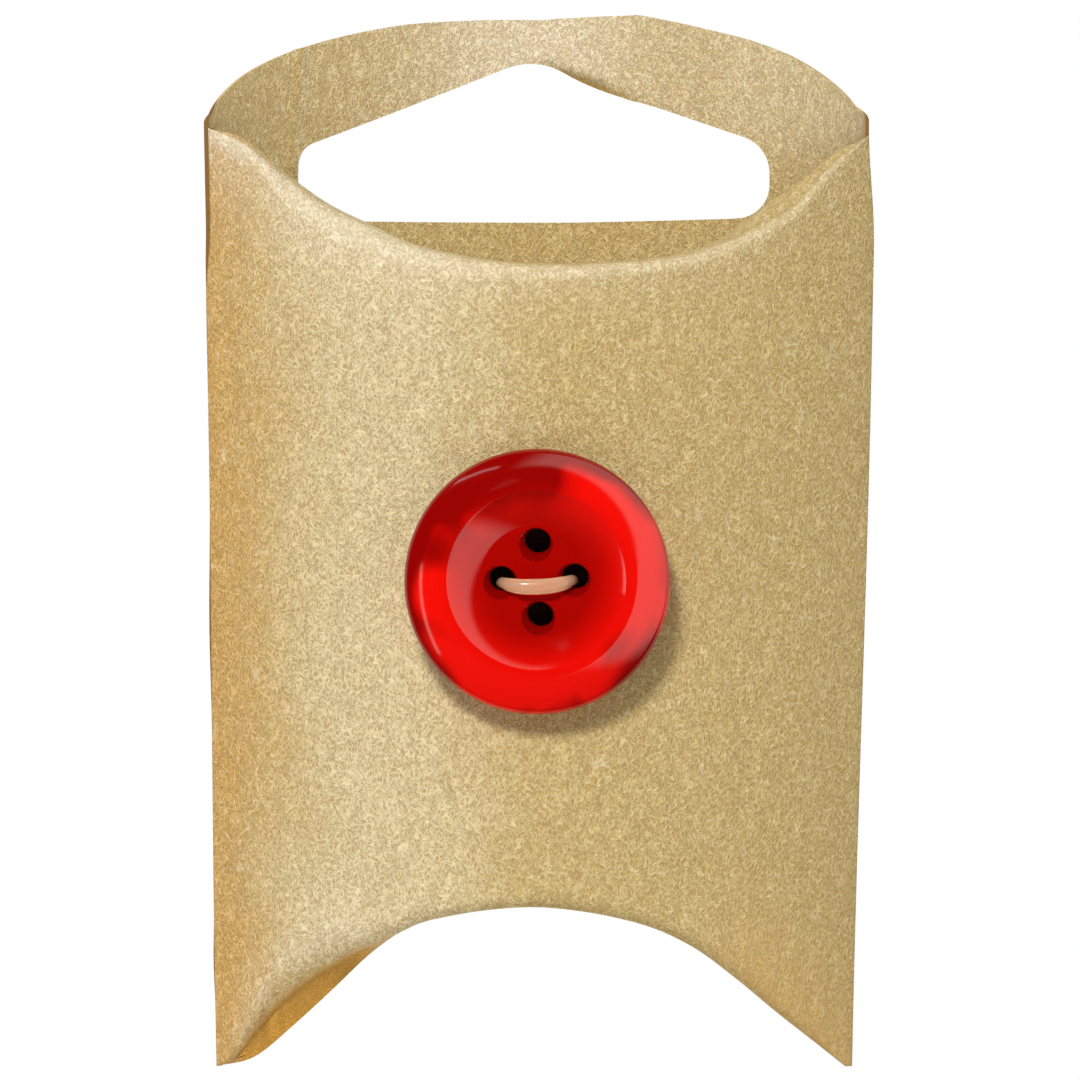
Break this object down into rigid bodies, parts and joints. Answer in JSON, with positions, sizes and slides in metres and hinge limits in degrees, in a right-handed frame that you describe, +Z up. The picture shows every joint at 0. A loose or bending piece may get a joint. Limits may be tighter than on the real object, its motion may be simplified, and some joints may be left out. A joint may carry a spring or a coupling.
{
  "type": "button card",
  "caption": "Pillow-shaped kraft card with tucked curved ends and a standing hang tab, carrying a large glossy red sew-through button held by a clear plastic staple.",
  "frame": {"origin": "the hang point: middle of the board's thickness at the top of the hang hole, on the card's centre line", "axes": "+Z up as the card hangs, the front with the button faces -Y, +X to the right as seen from the front"},
  "size_m": [0.0594, 0.0277, 0.0929],
  "materials": {
    "kraft_board": "uncoated kraft board, fibres showing",
    "red_polyester": "polished pearly cast polyester",
    "clear_plastic": "milky clear moulded staple"
  },
  "bodies": {
    "root": {"card": "kraft_board", "button": "red_polyester", "fastener": "clear_plastic"}
  },
  "joints": []
}
